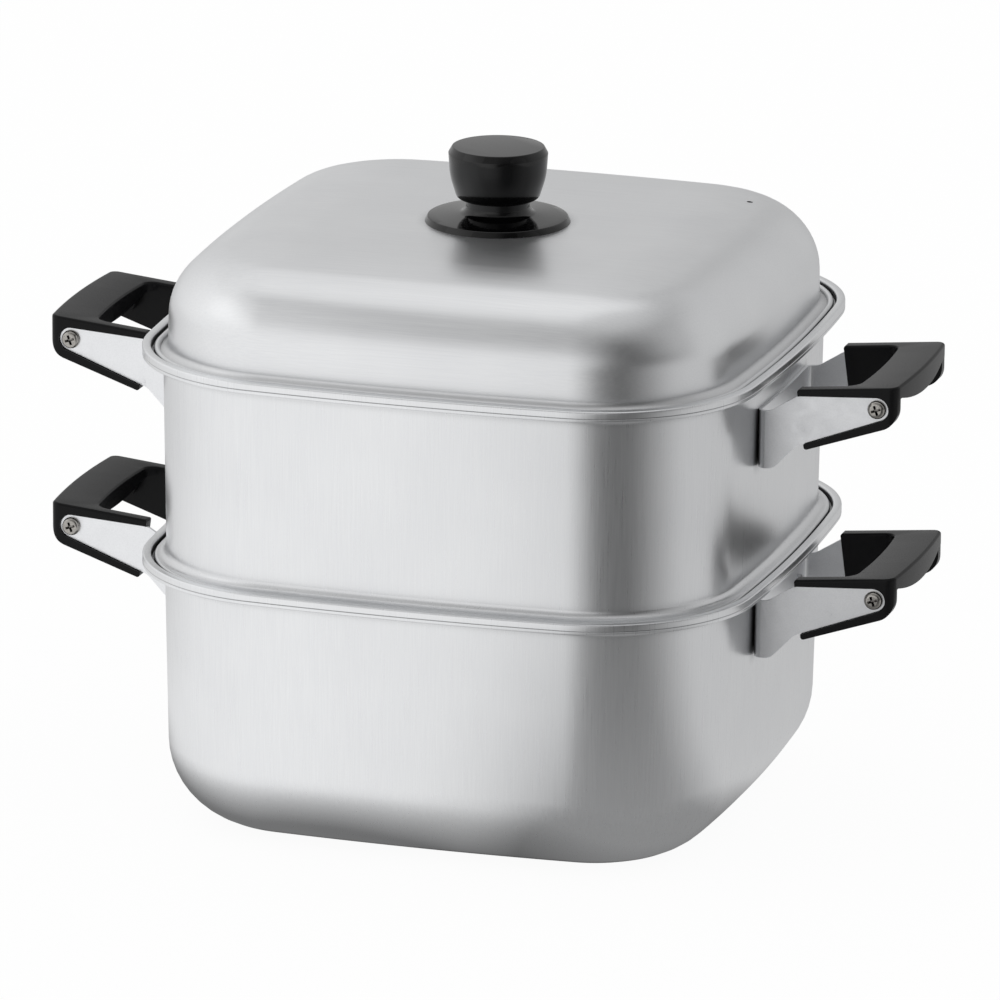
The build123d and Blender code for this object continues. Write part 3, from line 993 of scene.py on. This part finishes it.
@dataclass
class Studio:
    """Floor, lamps, sky and camera.

    Reflections see a room that is bright at the left, with a dark gap at the front right that
    draws the corners of the metal.

    Attributes:
        floor_size: Edge of the floor, in metres.
        floor_colour: Its colour under the lamps.
        azimuth: Turn of the camera to the right, in degrees.
        elevation: Its height over the floor, in degrees.
        roll: How far it leans, in degrees.
        distance_mm: How far it is from the point that it aims at.
        aim_right_mm: How far right of the middle it aims.
        aim_up_mm: How far above the floor it aims.
        focal_pixels: Its focal length, in pixels of a picture that is frame_pixels wide.
        frame_pixels: Width of that picture.
        sensor_mm: Width of its sensor.
        farthest: How far it sees, in metres.
        white_share: How much of the seen floor is plain white.
        sky: Brightness of the even light.
        sky_behind: How far behind the middle the sky's directions start from.
        floor_behind: The same for the floor, in metres.
        contact_middle: Middle of the shadow under the pot that reflections see, in metres.
        contact_reach: Where that shadow starts to fade and where it ends, in metres.
        contact_level: Brightness inside it.
        fill_stops: Least brightness of the floor, by metres from the middle.
        lamps: The three softboxes.
        round_stops: Brightness by direction, in degrees from the front to the right.
        lift_middle: Where level directions lie in lift_stops.
        lift_stops: Share of it that is kept, from high at the front (0) to high at the back (1).
        over_stops: Brightness overhead, by the height of the direction.
        over_share_stops: How far over_stops count, by the height of the direction.
    """

    floor_size: float = 14.0
    floor_colour: str = "#F4F4F4"
    azimuth: float = 16.81
    elevation: float = 15.84
    roll: float = 0.49
    distance_mm: float = 4821.0
    aim_right_mm: float = 2.11
    aim_up_mm: float = 136.46
    focal_pixels: float = 10568.0
    frame_pixels: float = 1000.0
    sensor_mm: float = 36.0
    farthest: float = 100.0
    white_share: float = 0.95
    sky: float = 0.9
    sky_behind: float = 0.6
    floor_behind: float = 0.07
    contact_middle: tuple[float, float, float] = (-0.045, 0.0, 0.0)
    contact_reach: tuple[float, float] = (0.12, 0.185)
    contact_level: float = 0.2
    fill_stops: Stops = ((0.25, 0.3), (0.42, 0.2), (0.7, 0.13), (1.0, 0.03))
    lamps: tuple[Softbox, ...] = (
        Softbox("left softbox", (-1.5, -1.1, 1.5), 1.8, 1.6, 1.8),
        Softbox("right softbox", (1.7, -0.6, 1.2), 1.2, 1.2, 0.6),
        Softbox("top softbox", (-0.6, 0.4, 2.2), 2.2, 1.8, 4.0),
    )
    round_stops: Stops = (
        (-180, 0.5),
        (-150, 0.52),
        (-132, 0.66),
        (-110, 0.72),
        (-60, 0.95),
        (-20, 1.0),
        (-4, 0.92),
        (6, 0.7),
        (17, 0.14),
        (36, 0.06),
        (53, 0.34),
        (72, 0.62),
        (150, 0.59),
        (180, 0.5),
    )
    lift_middle: float = 0.5
    lift_stops: Stops = ((0.03, 0.5), (0.12, 0.6), (0.28, 0.97), (0.5, 1.0))
    over_stops: Stops = ((0.5, 0.4), (0.8, 0.4), (0.93, 0.6), (1.0, 0.6))
    over_share_stops: Stops = ((0.58, 0.0), (0.85, 1.0))

    def build(self) -> None:
        """Builds everything round the object."""
        self.make_floor()
        self.make_sky()
        for lamp in self.lamps:
            lamp.hang(Vector((0, 0, self.aim_up_mm * MM)))
        self.make_camera()

    def brightness_round(
        self, tree: bpy.types.NodeTree, place: bpy.types.Node, behind: float
    ) -> bpy.types.NodeSocket:
        """Adds how bright the room is in each direction round the pot, with a dark gap at the front right.

        Args:
            tree: Node tree that gets the nodes.
            place: Separated place on the floor, or direction in the sky.
            behind: How far behind the middle the directions start from.

        Returns:
            Socket with the brightness.
        """
        front = add_node(
            tree, "ShaderNodeMath", {0: behind, 1: place.outputs["Y"]}, operation="SUBTRACT"
        )
        turn = add_node(
            tree, "ShaderNodeMath", {0: place.outputs["X"], 1: front.outputs[0]}, operation="ARCTAN2"
        )
        share = add_node(
            tree, "ShaderNodeMapRange", {"Value": turn.outputs[0], "From Min": -pi, "From Max": pi}
        )
        stops = [((angle + 180) / 360, level) for angle, level in self.round_stops]
        return grey_ramp(tree, share.outputs["Result"], stops)

    def make_floor(self) -> None:
        """Lays a pale floor that the camera and reflections see as almost white."""
        bm = bmesh.new()
        bmesh.ops.create_grid(bm, x_segments=1, y_segments=1, size=self.floor_size / 2)
        floor = new_object("floor", bm)
        material, tree, output = new_material("pale floor paper")
        path = add_node(tree, "ShaderNodeLightPath")
        paper = add_node(tree, "ShaderNodeBsdfDiffuse", {"Color": linear(self.floor_colour)})
        white = add_node(tree, "ShaderNodeEmission", {"Color": WHITE, "Strength": 1.0})
        share = add_node(
            tree,
            "ShaderNodeMath",
            {0: seen_directly(tree, path), 1: self.white_share},
            operation="MULTIPLY",
        )
        plain = add_node(
            tree,
            "ShaderNodeMixShader",
            {0: share.outputs[0], 1: paper.outputs["BSDF"], 2: white.outputs["Emission"]},
        )
        spot = add_node(tree, "ShaderNodeTexCoord").outputs["Object"]
        place = add_node(tree, "ShaderNodeSeparateXYZ", {"Vector": spot})
        reach = add_node(tree, "ShaderNodeVectorMath", {0: spot}, operation="LENGTH")
        filled = add_node(
            tree,
            "ShaderNodeMath",
            {
                0: self.brightness_round(tree, place, self.floor_behind),
                1: grey_ramp(tree, reach.outputs["Value"], self.fill_stops),
            },
            operation="MAXIMUM",
        )
        gap = add_node(
            tree, "ShaderNodeVectorMath", {0: spot, 1: self.contact_middle}, operation="DISTANCE"
        )
        near, far = self.contact_reach
        shade = add_node(
            tree,
            "ShaderNodeMapRange",
            {
                "Value": gap.outputs["Value"],
                "From Min": near,
                "From Max": far,
                "To Min": self.contact_level,
            },
        )
        shaded = add_node(
            tree,
            "ShaderNodeMath",
            {0: filled.outputs[0], 1: shade.outputs["Result"]},
            operation="MULTIPLY",
        )
        room = add_node(tree, "ShaderNodeEmission", {"Strength": shaded.outputs[0]})
        mixed = add_node(
            tree,
            "ShaderNodeMixShader",
            {0: path.outputs["Is Glossy Ray"], 1: plain.outputs["Shader"], 2: room.outputs["Emission"]},
        )
        tree.links.new(mixed.outputs["Shader"], output.inputs["Surface"])
        floor.data.materials.append(material)

    def make_sky(self) -> None:
        """Lights the scene evenly, and shows white to the camera and a studio to reflections."""
        world = bpy.data.worlds.new("studio")
        bpy.context.scene.world = world
        world.use_nodes = True
        tree = world.node_tree
        tree.nodes.clear()
        path = add_node(tree, "ShaderNodeLightPath")
        level = add_node(tree, "ShaderNodeBackground", {"Color": WHITE, "Strength": self.sky})
        white = add_node(tree, "ShaderNodeBackground", {"Color": WHITE, "Strength": 1.0})
        direction = add_node(tree, "ShaderNodeTexCoord").outputs["Generated"]
        place = add_node(tree, "ShaderNodeSeparateXYZ", {"Vector": direction})
        backwards = add_node(
            tree,
            "ShaderNodeMath",
            {0: place.outputs["Y"], 1: place.outputs["Z"], 2: self.lift_middle},
            operation="MULTIPLY_ADD",
        )
        lifted = add_node(
            tree,
            "ShaderNodeMath",
            {
                0: self.brightness_round(tree, place, self.sky_behind),
                1: grey_ramp(tree, backwards.outputs[0], self.lift_stops),
            },
            operation="MULTIPLY",
        )
        overhead = add_node(
            tree,
            "ShaderNodeMix",
            {
                0: grey_ramp(tree, place.outputs["Z"], self.over_share_stops),
                2: lifted.outputs[0],
                3: grey_ramp(tree, place.outputs["Z"], self.over_stops),
            },
            data_type="FLOAT",
        )
        room = add_node(
            tree, "ShaderNodeBackground", {"Color": WHITE, "Strength": overhead.outputs[0]}
        )
        lit = add_node(
            tree,
            "ShaderNodeMixShader",
            {
                0: path.outputs["Is Glossy Ray"],
                1: level.outputs["Background"],
                2: room.outputs["Background"],
            },
        )
        mixed = add_node(
            tree,
            "ShaderNodeMixShader",
            {0: seen_directly(tree, path), 1: lit.outputs["Shader"], 2: white.outputs["Background"]},
        )
        output = add_node(tree, "ShaderNodeOutputWorld")
        tree.links.new(mixed.outputs["Shader"], output.inputs["Surface"])

    def make_camera(self) -> None:
        """Puts the camera where the photograph was taken from."""
        a, e, roll = radians(self.azimuth), radians(self.elevation), radians(self.roll)
        back = Vector((sin(a) * cos(e), -cos(a) * cos(e), sin(e)))
        right = Vector((cos(a), sin(a), 0))
        up = back.cross(right)
        across = right * cos(roll) + up * sin(roll)
        above = up * cos(roll) - right * sin(roll)
        aim = right * self.aim_right_mm + Vector((0, 0, self.aim_up_mm))
        eye = (aim + back * self.distance_mm) * MM
        data = bpy.data.cameras.new("camera")
        data.sensor_width = self.sensor_mm
        data.lens = self.focal_pixels / self.frame_pixels * self.sensor_mm
        data.clip_end = self.farthest
        camera = bpy.data.objects.new("camera", data)
        bpy.context.scene.collection.objects.link(camera)
        camera.matrix_world = Matrix(
            (
                (across.x, above.x, back.x, eye.x),
                (across.y, above.y, back.y, eye.y),
                (across.z, above.z, back.z, eye.z),
                (0, 0, 0, 1),
            )
        )
        bpy.context.scene.camera = camera


def main() -> None:
    """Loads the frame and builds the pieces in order."""
    logging.basicConfig(level=logging.INFO, format="%(name)s: %(message)s")
    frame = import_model()
    bpy.context.scene.view_settings.view_transform = "Standard"

    # Drawn and brushed up and down: a satin face whose reflections stretch sideways
    walls = BrushedAluminium("satin brushed aluminium").material()
    # The same sheet brushed across, a little duller, so the crown looks soft and even
    crown = BrushedAluminium(
        "satin brushed aluminium lid", grain=Grain.ACROSS, line_mm=0.7, roughness=0.31
    ).material()
    # Bent from rolled sheet: paler than the walls, with a few faint scuffs
    brackets = ScuffedAluminium().material()
    # Moulded: a deep black with soft grey reflections
    resin = Phenolic().material()
    # Moulded in a polished mould: near black with crisp reflections
    gloss = Phenolic(
        "polished black phenolic resin", light="#060607", dark="#030303", roughness=0.08, specular=0.5
    ).material()
    # Plated after turning: small warm glints, and painted shade that darkens the cross recess
    nickel = TurnedMetal(
        "nickel-plated steel", light="#B9B6B1", dark="#8F8C88", roughness=0.14
    ).material()
    # Pressed cold: a pale button with a dull edge
    rivets = TurnedMetal(
        "pressed aluminium rivet", light="#D5D6D8", dark="#BFC0C3", roughness=0.3
    ).material()
    # Turned from bar: a yellow ring inside the black resin
    brass = TurnedMetal(
        "machined brass", light="#D9BE7E", dark="#B89A58", roughness=0.28
    ).material()

    plan = Plan()
    WaterPot("lower_pot", "pot", plan, walls, top=124.5).build()
    SteamerTier("steamer_tier", "tier", plan, walls, top=222.0).build()
    Lid("lid", "cover", plan, crown).build()

    dress(frame, ["knob_base", "knob_head"], gloss)
    dress(frame, ["knob_screw", "knob_washer"], nickel)
    dress(frame, ["knob_insert"], brass)
    for level in Level:
        for side in ("left", "right"):
            handle = f"{level.value}_{side}"
            dress(frame, [f"{handle}_bracket"], brackets)
            dress(frame, [f"{handle}_grip"], resin)
            dress(frame, [f"{handle}_inserts"], brass)
            dress(frame, [f"{handle}_screws"], nickel)
            dress(frame, [f"{handle}_rivets"], rivets)

    Studio().build()


if __name__ == "__main__":
    main()
